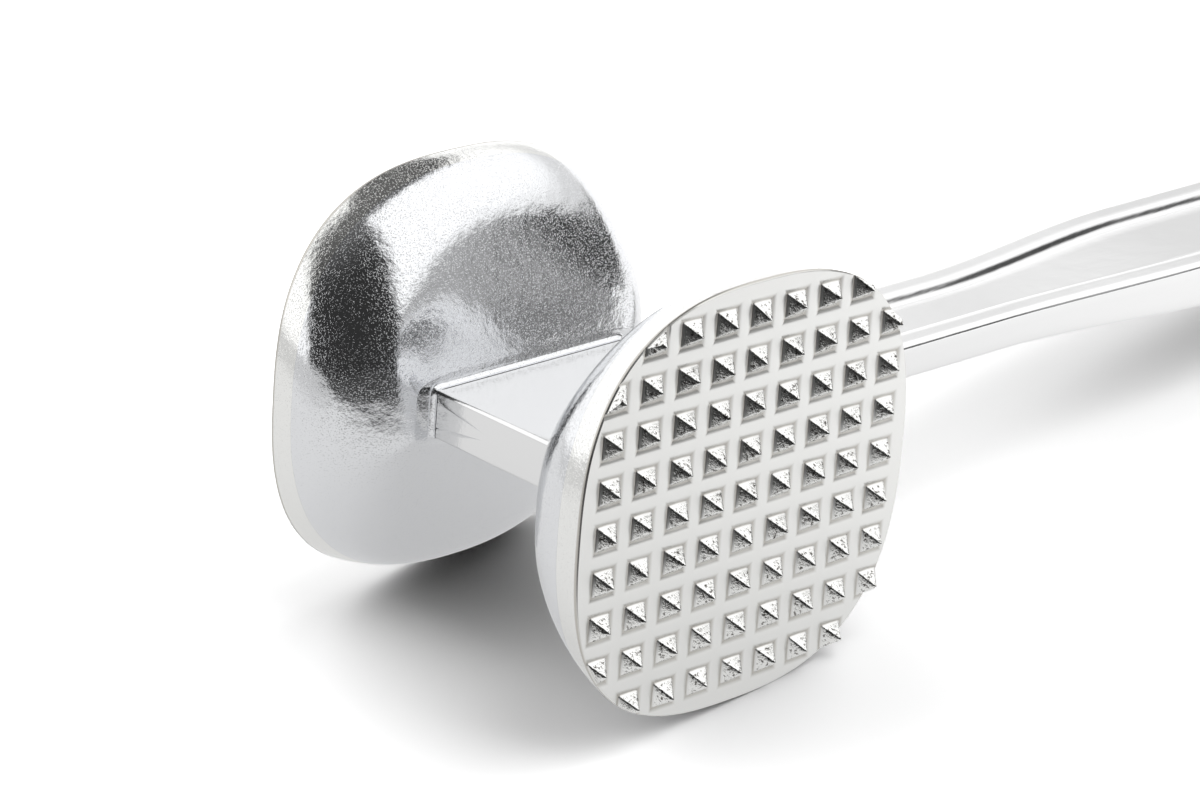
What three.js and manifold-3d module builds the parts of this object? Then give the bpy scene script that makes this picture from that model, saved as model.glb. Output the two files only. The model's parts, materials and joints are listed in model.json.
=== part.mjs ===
// A double-faced meat tenderizer: a polished aluminium hand mallet for the kitchen.
//
// Millimetres, +Z up. The mallet is modelled in its own tool frame first:
//   +X runs from the head along the handle, +Y from the front face to the rear face,
//   +Z is up, and the origin is the middle of the head.
// Then the whole tool is tilted the few degrees that it leans by when it lies on a table,
// on the lower edges of both faces and on the end of its handle.
//
// From front to rear the head is a toothed plate, a flared cup, the flat web of the handle,
// a second cup and a second toothed plate. Two screws hold each cup to the end of the web,
// and each plate is pressed into the mouth of its cup, which hides the screws.
//
// What belongs to one end of the head is made in an end frame, whose origin is the middle of
// the striking face and whose +Y goes into the head. The rear end is the front one turned
// round, so handleSide says which way along its X the handle lies.

import * as THREE from 'three';
import { mergeVertices } from 'three/addons/utils/BufferGeometryUtils.js';
import Module from 'manifold-3d';

const wasm = await Module();
wasm.setup();

// Room left between two pieces that touch
const FIT = 0.3;

// Striking faces
const HEAD_LENGTH = 60.5;
const FACE_HALF_WIDTH = 30.0;
const FACE_HALF_HEIGHT = 29.85;
const FACE_SQUARENESS = 2.64;
const PLATE_THICKNESS = 4.0;
const SPIGOT_LENGTH = 2.0;

// Teeth: coarse pyramids in front, which reach to the edge, and finer ones at the rear, whose
// middles keep a margin to it
const COARSE_TEETH = { pitch: 6.3, base: 3.6, height: 2.4, margin: 0 };
const FINE_TEETH = { pitch: 4.2, base: 2.8, height: 1.7, margin: 2.0 };
const TOOTH_ROOT = 0.3;
const TOOTH_EDGE = 0.1;

// Flared cups
const CUP_DEPTH = 16.5;
const MOUTH_INSET = 4.5;
const POCKET_INSET = 12.5;
const POCKET_FLOOR = 11.0;
const FLANK_ROUNDING = 0.35;
const NECK_SIDE_LIP = 2.6;
const NECK_TOP_LIP = 1.4;
const NECK_SQUARENESS = 6;
const SOCKET_DEPTH = 2.5;
const SIDE_FLARE = 3.46;
const TOP_FLARE = 2.79;

// Web of the handle, between the cups
const WEB_START = -15.8;
const WEB_END = 19.0;
const WEB_HALF_THICKNESS = 3.5;
const WEB_CHAMFER = 0.5;

// Handle
const HANDLE_END = 230.0;
const NECK_HALF_WIDTH = 9.6;
const NECK_HALF_THICKNESS = 2.75;
const NECK_FILLET = 3.8;
const NECK_THIN = 34.0;
const GRIP_START = 74.0;
const GRIP_FULL = 120.0;
const GRIP_HALF_WIDTH = 12.8;
const GRIP_HALF_THICKNESS = 3.6;
const HANDLE_CHAMFER = 0.6;
const HANG_HOLE_DIAMETER = 8.0;

// Recessed panel in the top and the bottom of the handle
const PANEL_START = 50.0;
const PANEL_END = 206.0;
const PANEL_DEPTH = 1.5;
const PANEL_RIM = 4.4;
const PANEL_WALL_LEAN = 0.4;
const PANEL_TIP_HALF_WIDTH = 0.6;

// Screws and washers inside the cups
const SCREW_SPACING = 18.0;
const SCREW_DIAMETER = 4.0;
const SCREW_HEAD_DIAMETER = 7.0;
const SCREW_HEAD_HEIGHT = 2.4;
const SCREW_HEAD_CHAMFER = 0.4;
const SCREW_GRIP = 8.0;
const HEX_WIDTH = 2.5;
const HEX_DEPTH = 1.3;
const WASHER_DIAMETER = 9.0;
const WASHER_THICKNESS = 0.8;

// Facets. A crowding above 1 draws a row of sections together where the shape turns fastest.
const OUTLINE_POINTS = 64;
const FLARE_RINGS = 12;
const FLARE_CROWDING = 1.7;
const FILLET_CROWDING = 2;
const PANEL_END_CROWDING = 1.5;
const ROUND_SIDES = 24;
const ROUND_END_STOP = 84;
const MERGE_DISTANCE = 1e-4;
const RESTING_HALVINGS = 40;

// Least land on the handle between its chamfer and the panel, and how far the bar starts
// inside the web that it grows out of
const LEAST_LAND = 0.1;
const BAR_OVERLAP = 2.0;

const HALF_LENGTH = HEAD_LENGTH / 2;
const WEB_MIDDLE = (WEB_START + WEB_END) / 2;
const WEB_HALF_WIDTH = (WEB_END - WEB_START) / 2;
const SOCKET_FLOOR = CUP_DEPTH - SOCKET_DEPTH;
const WEB_FACE = SOCKET_FLOOR + FIT;
const NECK_HALF_HEIGHT = WEB_HALF_THICKNESS + FIT + NECK_TOP_LIP;
const NECK_HALF_LENGTH = WEB_HALF_WIDTH + FIT + NECK_SIDE_LIP;
const WASHER_TOP = POCKET_FLOOR - FIT - WASHER_THICKNESS;
const SCREW_SEAT = WASHER_TOP - FIT;

const { lerp, smoothstep } = THREE.MathUtils;

const FINISH = {
  blasted: { color: 0xe4e4e0, roughness: 0.62, metalness: 0.9 },
  satin: { color: 0xc6c9cc, roughness: 0.34, metalness: 1 },
  polished: { color: 0xdcdddd, roughness: 0.16, metalness: 1 },
  steel: { color: 0x9aa0a6, roughness: 0.3, metalness: 1 },
};

// A closed three.js geometry as a solid. Triangles that merging folds flat are left out.
function toSolid(geometry) {
  const bare = geometry.clone();
  bare.deleteAttribute('normal');
  bare.deleteAttribute('uv');
  const merged = mergeVertices(bare, MERGE_DISTANCE);
  const corners = merged.index.array;
  const kept = [];
  for (let k = 0; k < corners.length; k += 3) {
    const [a, b, c] = corners.slice(k, k + 3);
    if (a !== b && b !== c && c !== a) kept.push(a, b, c);
  }
  return new wasm.Manifold(new wasm.Mesh({
    numProp: 3,
    vertProperties: new Float32Array(merged.attributes.position.array),
    triVerts: new Uint32Array(kept),
  }));
}

function toMesh(solid, name, finish) {
  const result = solid.getMesh();
  const geometry = new THREE.BufferGeometry();
  geometry.setAttribute('position', new THREE.BufferAttribute(result.vertProperties, 3));
  geometry.setIndex(new THREE.BufferAttribute(result.triVerts, 1));
  geometry.computeVertexNormals();
  const mesh = new THREE.Mesh(geometry, new THREE.MeshStandardMaterial(finish));
  mesh.name = name;
  return mesh;
}

// Skin over a row of rings with equally many points, closed by a fan of triangles at each end.
// Seen from where the row leads to, each ring turns counterclockwise.
function loft(rings) {
  const count = rings[0].length;
  const middles = [rings[0], rings[rings.length - 1]].map((ring) => {
    const sum = ring.reduce((total, point) => total.add(point), new THREE.Vector3());
    return sum.divideScalar(count);
  });
  const index = [];
  const lastRow = (rings.length - 1) * count;
  const firstMiddle = rings.length * count;
  for (let k = 0; k < count; k++) {
    const next = (k + 1) % count;
    for (let row = 0; row < lastRow; row += count) {
      index.push(row + k, row + next, row + count + next);
      index.push(row + k, row + count + next, row + count + k);
    }
    index.push(firstMiddle, next, k);
    index.push(firstMiddle + 1, lastRow + k, lastRow + next);
  }
  const geometry = new THREE.BufferGeometry().setFromPoints([...rings.flat(), ...middles]);
  geometry.setIndex(index);
  return geometry;
}

// Round bar along +Y, from one depth to another.
function roundBar(diameter, from, to) {
  const bar = new THREE.CylinderGeometry(diameter / 2, diameter / 2, to - from, ROUND_SIDES);
  bar.translate(0, (from + to) / 2, 0);
  return toSolid(bar);
}

// Ring |x/a|^n + |z/b|^n = 1 at a depth of the end frame: an ellipse at n = 2, squarer above.
function outlineRing({ middle, halfWidth, halfHeight, squareness }, depth) {
  const bend = (value) => Math.sign(value) * Math.abs(value) ** (2 / squareness);
  return Array.from({ length: OUTLINE_POINTS }, (_, k) => {
    const angle = (2 * Math.PI * k) / OUTLINE_POINTS;
    const x = middle + halfWidth * bend(Math.sin(angle));
    return new THREE.Vector3(x, depth, halfHeight * bend(Math.cos(angle)));
  });
}

// The striking face's outline, drawn in by an inset.
function faceSection(inset) {
  return {
    middle: 0,
    halfWidth: FACE_HALF_WIDTH - inset,
    halfHeight: FACE_HALF_HEIGHT - inset,
    squareness: FACE_SQUARENESS,
  };
}

// The head's outline at a depth behind the striking face: the squarish face, a little rounder
// where the flank bends over, then squarer all the way in to the oblong that frames the web.
// side and top say how much of the face's size is left, from 1 at the face to 0 at the neck:
// each flank leaves the face square to it and leans over more and more towards the neck.
function headSection(depth, handleSide) {
  const s = depth / CUP_DEPTH;
  const side = 1 - s ** SIDE_FLARE;
  const top = 1 - s ** TOP_FLARE;
  const rounding = FLANK_ROUNDING * Math.sin(Math.PI * s);
  return {
    middle: handleSide * WEB_MIDDLE * (1 - side),
    halfWidth: lerp(NECK_HALF_LENGTH, FACE_HALF_WIDTH, side),
    halfHeight: lerp(NECK_HALF_HEIGHT, FACE_HALF_HEIGHT, top),
    squareness: lerp(FACE_SQUARENESS, NECK_SQUARENESS, (1 - top) ** 3) - rounding,
  };
}

function headLoft(depths, handleSide) {
  return toSolid(loft(depths.map((depth) => outlineRing(headSection(depth, handleSide), depth))));
}

// Depths from the face to the neck, closer together towards the neck, where the flank leans over.
function flareDepths(from, to) {
  return Array.from({ length: FLARE_RINGS }, (_, k) => {
    const left = 1 - k / (FLARE_RINGS - 1);
    return to - (to - from) * left ** FLARE_CROWDING;
  });
}

// Square pyramids on a grid centred on the face, as far as their middles lie inside its
// outline by the margin. Those that reach over the edge are cut off along it.
function teeth({ pitch, base, height, margin }) {
  const scale = (height + TOOTH_ROOT) / height;
  const pyramid = new THREE.ConeGeometry((base * scale) / Math.SQRT2, height * scale, 4);
  pyramid.rotateY(Math.PI / 4);
  pyramid.rotateX(Math.PI);
  pyramid.translate(0, TOOTH_ROOT - (height * scale) / 2, 0);
  const tooth = toSolid(pyramid);
  const reach = Math.floor(FACE_HALF_WIDTH / pitch);
  let all = null;
  for (let i = -reach; i <= reach; i++) {
    for (let j = -reach; j <= reach; j++) {
      const x = i * pitch;
      const z = j * pitch;
      const across = ((Math.abs(x) + margin) / FACE_HALF_WIDTH) ** FACE_SQUARENESS;
      const up = ((Math.abs(z) + margin) / FACE_HALF_HEIGHT) ** FACE_SQUARENESS;
      if (across + up < 1) {
        const placed = tooth.translate([x, 0, z]);
        all = all ? all.add(placed) : placed;
      }
    }
  }
  const edge = faceSection(TOOTH_EDGE);
  const outline = loft([outlineRing(edge, -2 * height), outlineRing(edge, 2 * TOOTH_ROOT)]);
  return all.intersect(toSolid(outline));
}

// Striking plate: the front slice of the head's flare, with a spigot behind it that is pressed
// into the mouth of the cup.
function toothPlate(name, toothSize, handleSide) {
  const plate = headLoft([0, PLATE_THICKNESS / 2, PLATE_THICKNESS], handleSide);
  const spigotEdge = faceSection(MOUTH_INSET + FIT);
  const spigotDepths = [PLATE_THICKNESS / 2, PLATE_THICKNESS + SPIGOT_LENGTH];
  const spigot = toSolid(loft(spigotDepths.map((depth) => outlineRing(spigotEdge, depth))));
  return toMesh(plate.add(spigot).add(teeth(toothSize)), name, FINISH.blasted);
}

// Where the two screws of an end go through, along X of the end frame.
function screwPlaces(handleSide) {
  return [1, -1].map((way) => handleSide * (WEB_MIDDLE + (way * SCREW_SPACING) / 2));
}

// Flared cup: hollow from its mouth, with a floor that two screws go through and a socket in
// the neck for the end of the web.
function cup(name, handleSide) {
  const rim = PLATE_THICKNESS + FIT;
  const body = headLoft(flareDepths(rim, CUP_DEPTH), handleSide);
  const pocket = toSolid(loft([
    outlineRing(faceSection(MOUTH_INSET), 0),
    outlineRing(faceSection(MOUTH_INSET), PLATE_THICKNESS + SPIGOT_LENGTH + FIT),
    outlineRing(faceSection(POCKET_INSET), POCKET_FLOOR),
  ]));
  const socketBox = new THREE.BoxGeometry(
    2 * (WEB_HALF_WIDTH + FIT), 2 * SOCKET_DEPTH, 2 * (WEB_HALF_THICKNESS + FIT),
  );
  socketBox.translate(handleSide * WEB_MIDDLE, CUP_DEPTH, 0);
  let solid = body.subtract(pocket).subtract(toSolid(socketBox));
  for (const x of screwPlaces(handleSide)) {
    const hole = roundBar(SCREW_DIAMETER + 2 * FIT, 0, CUP_DEPTH);
    solid = solid.subtract(hole.translate([x, 0, 0]));
  }
  return toMesh(solid, name, FINISH.satin);
}

// Button-head socket screw, head towards the striking face.
function cupScrew(name) {
  const head = SCREW_HEAD_DIAMETER / 2;
  const shank = SCREW_DIAMETER / 2;
  const crown = SCREW_SEAT - SCREW_HEAD_HEIGHT;
  const tip = WEB_FACE + SCREW_GRIP;
  const profile = [
    [0, crown],
    [head - SCREW_HEAD_CHAMFER, crown],
    [head, crown + SCREW_HEAD_CHAMFER],
    [head, SCREW_SEAT],
    [shank, SCREW_SEAT],
    [shank, tip - SCREW_HEAD_CHAMFER],
    [shank - SCREW_HEAD_CHAMFER, tip],
    [0, tip],
  ].map(([radius, depth]) => new THREE.Vector2(radius, depth));
  const body = toSolid(new THREE.LatheGeometry(profile, ROUND_SIDES));
  const hexCorner = HEX_WIDTH / Math.sqrt(3);
  const hex = new THREE.CylinderGeometry(hexCorner, hexCorner, 2 * HEX_DEPTH, 6);
  hex.translate(0, crown, 0);
  return toMesh(body.subtract(toSolid(hex)), name, FINISH.steel);
}

function cupWasher(name) {
  const disc = roundBar(WASHER_DIAMETER, WASHER_TOP, WASHER_TOP + WASHER_THICKNESS);
  const hole = roundBar(SCREW_DIAMETER + 2 * FIT, 0, CUP_DEPTH);
  return toMesh(disc.subtract(hole), name, FINISH.steel);
}

// Everything that belongs to one end of the head, in its end frame.
function headEnd(end, toothSize, handleSide) {
  const group = new THREE.Group();
  group.add(toothPlate(`${end}_tooth_plate`, toothSize, handleSide));
  group.add(cup(`${end}_cup`, handleSide));
  const sides = ['handle_side', 'tip_side'];
  screwPlaces(handleSide).forEach((x, k) => {
    const screw = cupScrew(`${end}_cup_screw_${sides[k]}`);
    const washer = cupWasher(`${end}_cup_washer_${sides[k]}`);
    screw.position.x = x;
    washer.position.x = x;
    group.add(screw, washer);
  });
  return group;
}

// Values from a start to an end in equal steps, both ends included.
function steps(from, to, count) {
  return Array.from({ length: count + 1 }, (_, k) => lerp(from, to, k / count));
}

// Half width of the handle in plan: a fillet out of the web, the straight neck, the wider grip
// and a round end.
function handleHalfWidth(x) {
  if (x < WEB_END + NECK_FILLET) {
    const toNeck = Math.min(NECK_FILLET, WEB_END + NECK_FILLET - x);
    return NECK_HALF_WIDTH + NECK_FILLET - Math.sqrt(NECK_FILLET ** 2 - toNeck ** 2);
  }
  const grip = lerp(NECK_HALF_WIDTH, GRIP_HALF_WIDTH, smoothstep(x, GRIP_START, GRIP_FULL));
  const intoEnd = Math.max(0, x - (HANDLE_END - GRIP_HALF_WIDTH));
  return Math.min(grip, Math.sqrt(GRIP_HALF_WIDTH ** 2 - intoEnd ** 2));
}

// Half thickness: the web's, thinner at the neck, thicker again in the grip.
function handleHalfThickness(x) {
  const neck = lerp(WEB_HALF_THICKNESS, NECK_HALF_THICKNESS, smoothstep(x, WEB_END, NECK_THIN));
  return lerp(neck, GRIP_HALF_THICKNESS, smoothstep(x, GRIP_START, GRIP_FULL));
}

// Half width and depth of the recessed panel, whose two ends are half rounds in plan.
function panel(x) {
  const full = handleHalfWidth(x) - PANEL_RIM;
  const fromEnd = Math.min(x - PANEL_START, PANEL_END - x);
  if (fromEnd <= 0) return { halfWidth: PANEL_TIP_HALF_WIDTH, depth: 0 };
  const left = Math.max(0, 1 - fromEnd / full);
  const halfWidth = Math.max(PANEL_TIP_HALF_WIDTH, full * Math.sqrt(1 - left ** 2));
  return { halfWidth, depth: Math.min(PANEL_DEPTH, fromEnd) };
}

// Cross-section of the handle at x, counterclockwise seen from its end: a flat bar with
// chamfered edges and the panel let into its top and bottom.
function handleRing(x) {
  const w = handleHalfWidth(x);
  const h = handleHalfThickness(x);
  const { halfWidth, depth } = panel(x);
  const edge = Math.min(HANDLE_CHAMFER, w / 2);
  const lip = halfWidth + PANEL_WALL_LEAN;
  const top = [
    [w, h - edge],
    [w - edge, h],
    [Math.min(lip, w - edge - LEAST_LAND), h],
    [Math.min(halfWidth, w - edge - 2 * LEAST_LAND), h - depth],
  ];
  const topRow = [...top, ...top.toReversed().map(([y, z]) => [-y, z])];
  const ring = [...topRow, ...topRow.map(([y, z]) => [-y, -z])];
  return ring.map(([y, z]) => new THREE.Vector3(x, y, z));
}

// Where the handle's cross-section is drawn: densely at every curve of its plan.
function handleStations() {
  const endMiddle = HANDLE_END - GRIP_HALF_WIDTH;
  const panelNear = NECK_HALF_WIDTH - PANEL_RIM;
  const panelFar = GRIP_HALF_WIDTH - PANEL_RIM;
  const fillet = steps(0, 1, 5).map((u) => WEB_END + NECK_FILLET * u ** FILLET_CROWDING);
  const roundEnd = steps(0, ROUND_END_STOP, 10).map((degrees) => {
    return endMiddle + GRIP_HALF_WIDTH * Math.sin(THREE.MathUtils.degToRad(degrees));
  });
  return [
    WEB_END - BAR_OVERLAP,
    ...fillet,
    ...steps((WEB_END + NECK_FILLET + NECK_THIN) / 2, NECK_THIN, 2),
    ...steps(0, 1, 6).map((u) => PANEL_START + panelNear * u ** PANEL_END_CROWDING),
    ...steps(GRIP_START, GRIP_FULL, 12),
    ...steps(0, 1, 6).map((u) => PANEL_END - panelFar * (1 - u) ** PANEL_END_CROWDING),
    ...roundEnd,
  ];
}

// Handle: the web that both cups clasp, and the bar that leads from it to the hanging hole.
function handle() {
  const webLength = HEAD_LENGTH - 2 * WEB_FACE;
  const side = WEB_HALF_WIDTH - WEB_CHAMFER;
  const rise = WEB_HALF_THICKNESS - WEB_CHAMFER;
  const webShape = new THREE.Shape([
    [side, -WEB_HALF_THICKNESS],
    [WEB_HALF_WIDTH, -rise],
    [WEB_HALF_WIDTH, rise],
    [side, WEB_HALF_THICKNESS],
    [-side, WEB_HALF_THICKNESS],
    [-WEB_HALF_WIDTH, rise],
    [-WEB_HALF_WIDTH, -rise],
    [-side, -WEB_HALF_THICKNESS],
  ].map(([x, z]) => new THREE.Vector2(x, z)));
  const web = new THREE.ExtrudeGeometry(webShape, { depth: webLength, bevelEnabled: false });
  web.rotateX(Math.PI / 2);
  web.translate(WEB_MIDDLE, webLength / 2, 0);
  const bar = loft(handleStations().map(handleRing));
  let solid = toSolid(web).add(toSolid(bar));
  const hangHole = roundBar(HANG_HOLE_DIAMETER, -WEB_HALF_WIDTH, WEB_HALF_WIDTH);
  solid = solid.subtract(hangHole.rotate([90, 0, 0]).translate([HANDLE_END - GRIP_HALF_WIDTH, 0, 0]));
  for (const x of screwPlaces(1)) {
    const threadHole = roundBar(SCREW_DIAMETER + 2 * FIT, 0, WEB_FACE + SCREW_GRIP + FIT);
    solid = solid.subtract(threadHole.translate([x, -HALF_LENGTH, 0]));
    solid = solid.subtract(threadHole.rotate([0, 0, 180]).translate([x, HALF_LENGTH, 0]));
  }
  return toMesh(solid, 'handle', FINISH.polished);
}

const frontEnd = headEnd('front', COARSE_TEETH, 1);
frontEnd.position.y = -HALF_LENGTH;
const rearEnd = headEnd('rear', FINE_TEETH, -1);
rearEnd.position.y = HALF_LENGTH;
rearEnd.rotation.z = Math.PI;
const head = new THREE.Group();
head.add(frontEnd, rearEnd);
const bar = handle();
const tool = new THREE.Group();
tool.add(head, bar);

// Lowest point of some of the tool when the handle's end is let down by an angle.
function lowest(object, angle) {
  tool.rotation.y = angle;
  tool.updateMatrixWorld(true);
  return new THREE.Box3().setFromObject(object, true).min.z;
}

// The angle at which the head and the end of the handle reach the table together, found by
// halving the range between a level handle and one that is far too steep.
function restingAngle() {
  let level = 0;
  let steep = Math.PI / 12;
  for (let k = 0; k < RESTING_HALVINGS; k++) {
    const middle = (level + steep) / 2;
    if (lowest(bar, middle) > lowest(head, middle)) level = middle;
    else steep = middle;
  }
  return level;
}

tool.rotation.y = restingAngle();
tool.updateMatrixWorld(true);
const box = new THREE.Box3().setFromObject(tool, true);
const centre = box.getCenter(new THREE.Vector3());
tool.position.set(-centre.x, -centre.y, -box.min.z);

const mallet = new THREE.Group();
mallet.add(tool);

export default mallet;
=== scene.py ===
# %% [markdown]
# # A meat tenderizer in Blender
#
# The real object is a hand mallet for the kitchen, made of aluminium castings. Its head has two
# toothed striking plates, each in the mouth of a flared cup, and between the cups runs a flat
# web that goes on as the handle. Nothing on it moves, so everything rides on one body, "root".
#
# The CAD model is loaded first and never changes. It says where every piece is and how large.
# Its surfaces are faceted, so the pieces that show are made again here as fine surfaces.

# %% Load the frame
import json
import math

import bmesh
import bpy
import numpy as np
from mathutils import Matrix, Vector


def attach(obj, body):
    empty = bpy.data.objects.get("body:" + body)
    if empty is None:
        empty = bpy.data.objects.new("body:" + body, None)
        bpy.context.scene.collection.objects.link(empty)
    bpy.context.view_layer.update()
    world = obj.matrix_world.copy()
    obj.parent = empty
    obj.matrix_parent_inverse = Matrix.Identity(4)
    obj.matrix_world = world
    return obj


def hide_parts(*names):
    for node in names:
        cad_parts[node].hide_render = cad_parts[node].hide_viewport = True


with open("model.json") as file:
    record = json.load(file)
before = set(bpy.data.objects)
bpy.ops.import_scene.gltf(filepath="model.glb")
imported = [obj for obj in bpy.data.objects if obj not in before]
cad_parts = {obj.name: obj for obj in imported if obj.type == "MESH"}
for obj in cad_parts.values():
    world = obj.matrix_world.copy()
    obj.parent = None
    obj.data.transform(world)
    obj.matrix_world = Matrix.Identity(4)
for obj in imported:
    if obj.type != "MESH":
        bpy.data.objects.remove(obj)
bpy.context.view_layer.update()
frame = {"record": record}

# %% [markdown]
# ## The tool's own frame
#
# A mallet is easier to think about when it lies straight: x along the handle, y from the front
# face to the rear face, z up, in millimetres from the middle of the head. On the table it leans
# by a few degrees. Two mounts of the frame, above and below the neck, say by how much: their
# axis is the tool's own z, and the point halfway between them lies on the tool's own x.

MM = 0.001

# Where the two neck mounts are along the handle, from the middle of the head
NECK_MOUNT_X = 42.0

mounts = {mount["name"]: mount for mount in frame["record"]["mounts"]}
tool_z = np.array(mounts["neck_top"]["axis"])
tool_y = np.array([0.0, 1.0, 0.0])
tool_x = np.cross(tool_y, tool_z)
neck_middle = np.mean([mounts[name]["pos_m"] for name in ("neck_top", "neck_bottom")], axis=0)
tool_origin = neck_middle - NECK_MOUNT_X * MM * tool_x
print("the tool leans by", round(math.degrees(math.asin(tool_z[0])), 2), "degrees")


def to_row(points):
    """Tool-frame millimetres to row-frame metres: origin + x tool_x + y tool_y + z tool_z."""
    return tool_origin + MM * (np.asarray(points) @ np.array([tool_x, tool_y, tool_z]))


# %% [markdown]
# ## The camera
#
# The photograph is a close-up with a long lens, from the front left and 26 degrees above the
# table. The handle runs out of the picture at the right. The grid of teeth is regular, so the
# way it narrows in the photograph tells where the camera stood.

# %% Camera
# Place in metres, angles in degrees, lens and sensor in millimetres. Azimuth 0 looks along +y.
CAMERA_PLACE = Vector((-0.4786, -0.4105, 0.3107))
CAMERA_AZIMUTH = -42.897
CAMERA_ELEVATION = 26.386
CAMERA_ROLL = -0.925
CAMERA_LENS = 139.5
SENSOR_WIDTH = 36.0

camera = bpy.data.objects.new("camera", bpy.data.cameras.new("camera"))
camera.data.lens = CAMERA_LENS
camera.data.sensor_width = SENSOR_WIDTH
camera.data.clip_start = 0.01
camera.data.clip_end = 20.0
turn = Matrix.Rotation(math.radians(CAMERA_AZIMUTH), 4, "Z")
tilt = Matrix.Rotation(math.radians(90.0 - CAMERA_ELEVATION), 4, "X")
roll = Matrix.Rotation(math.radians(CAMERA_ROLL), 4, "Z")
camera.matrix_world = Matrix.Translation(CAMERA_PLACE) @ turn @ tilt @ roll
bpy.context.scene.collection.objects.link(camera)
bpy.context.scene.camera = camera
print("the camera stands", round(CAMERA_PLACE.length, 2), "m away, with a", CAMERA_LENS, "mm lens")

# %% [markdown]
# ## From arrays to meshes
#
# Every new piece is worked out as rows of points. A row is one closed ring round the piece, and
# the rings follow each other along it. Each ring has equally many points, so the faces between
# two rings are quads, and a fan of triangles closes each end.

# %% Faces between rings
# A triangle whose corners are taken in this order looks the other way
TURNED_OVER = [0, 2, 1]


def ring_quads(rings, count):
    """Quads between neighbouring rings of count points each, point i to point i + 1."""
    here = np.arange(count)
    after = (here + 1) % count
    base = (np.arange(rings - 1) * count)[:, None]
    corners = [base + here, base + after, base + count + after, base + count + here]
    return np.stack(corners, axis=-1).reshape(-1, 4)


def ring_fan(middle, first, count):
    """Triangles from a middle point to each side of the ring whose points begin at first."""
    here = np.arange(count)
    after = (here + 1) % count
    return np.stack([np.full(count, middle), first + here, first + after], axis=-1)


# %% New pieces
# In millimetres: points that are closer than this become one
MERGE_DISTANCE = 0.0005
SHARP_DEGREES = 35.0


def smooth(piece):
    """Smooth shading, with the edges that fold by more than an angle kept sharp."""
    piece.data.shade_smooth()
    piece.data.set_sharp_from_angle(angle=math.radians(SHARP_DEGREES))


def new_piece(name, points, faces):
    """A mesh object from tool-frame points, with its doubles merged and its faces outwards."""
    mesh = bpy.data.meshes.new(name)
    mesh.from_pydata(to_row(points).tolist(), [], faces)
    work = bmesh.new()
    work.from_mesh(mesh)
    bmesh.ops.remove_doubles(work, verts=work.verts, dist=MERGE_DISTANCE * MM)
    bmesh.ops.recalc_face_normals(work, faces=work.faces)
    work.to_mesh(mesh)
    work.free()
    piece = bpy.data.objects.new(name, mesh)
    bpy.context.scene.collection.objects.link(piece)
    smooth(piece)
    return piece


def loft(name, rings):
    """A closed piece from rings shaped (rings, points in a ring, 3).

    Quads join the rings, and a fan round the mean of its ring closes each end.
    """
    rings = np.asarray(rings, float)
    number, count = rings.shape[:2]
    middles = rings[[0, -1]].mean(axis=1)
    points = np.concatenate([rings.reshape(-1, 3), middles])
    faces = ring_quads(number, count).tolist()
    faces += ring_fan(number * count, 0, count)[:, TURNED_OVER].tolist()
    faces += ring_fan(number * count + 1, (number - 1) * count, count).tolist()
    return new_piece(name, points, faces)


# %% Cutting and measuring
def combine(piece, other, operation):
    """Cuts a piece by another, or keeps what they share, and takes the other away."""
    step = piece.modifiers.new(operation.lower(), "BOOLEAN")
    step.operation = operation
    step.solver = "MANIFOLD"
    step.object = other
    result = piece.evaluated_get(bpy.context.evaluated_depsgraph_get())
    mesh = bpy.data.meshes.new_from_object(result)
    piece.modifiers.clear()
    piece.data = mesh
    mesh.name = piece.name
    bpy.data.objects.remove(other)
    smooth(piece)


def report(piece):
    """Prints a piece's size in millimetres and its number of triangles."""
    piece.data.calc_loop_triangles()
    corners = np.array(piece.bound_box)
    size = (corners.max(axis=0) - corners.min(axis=0)) / MM
    print(piece.name, "is", size.round(1), "mm with", len(piece.data.loop_triangles), "triangles")


# %% [markdown]
# ## The head's outline
#
# Seen from the front, the face is between a circle and a square: a superellipse. Going back from
# the face, the outline first leaves it square to it, then leans over more and more towards the
# neck, where it has become the oblong that frames the web. One function of the depth behind the
# face gives every one of these outlines.

# %% Head outline
# Sizes in millimetres. Depths are measured from a striking face towards the middle of the head.
HEAD_LENGTH = 60.5
HALF_LENGTH = HEAD_LENGTH / 2
FACE_HALF_WIDTH = 30.0
FACE_HALF_HEIGHT = 29.85
PLATE_THICKNESS = 4.0
CUP_DEPTH = 16.5
WEB_MIDDLE = 1.6
WEB_HALF_WIDTH = 17.4
WEB_HALF_THICKNESS = 3.5
NECK_SIDE_MARGIN = 2.9
NECK_TOP_MARGIN = 1.7

# Exponents: of the superellipse at both ends, and of how the sides and the top lean over. The
# rounding is how much less square the outline gets halfway down the flank.
FACE_SQUARENESS = 2.64
NECK_SQUARENESS = 6.0
SIDE_FLARE = 3.46
TOP_FLARE = 2.79
FLANK_ROUNDING = 0.35

# Angles round the head, seen from the front, and along a quarter round
OUTLINE_POINTS = 320
ROUND_POINTS = 7
ANGLES = np.linspace(0.0, 2 * math.pi, OUTLINE_POINTS, endpoint=False)
QUARTER_TURN = np.linspace(0.0, math.pi / 2, ROUND_POINTS)


# %% Outlines round a middle
def superellipse(half_width, half_height, squareness):
    """Distance from the middle to |x/a|^n + |z/b|^n = 1 in each of the angles."""
    across = np.abs(np.cos(ANGLES)) / half_width
    up = np.abs(np.sin(ANGLES)) / half_height
    return (across ** squareness + up ** squareness) ** (-1 / squareness)


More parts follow.
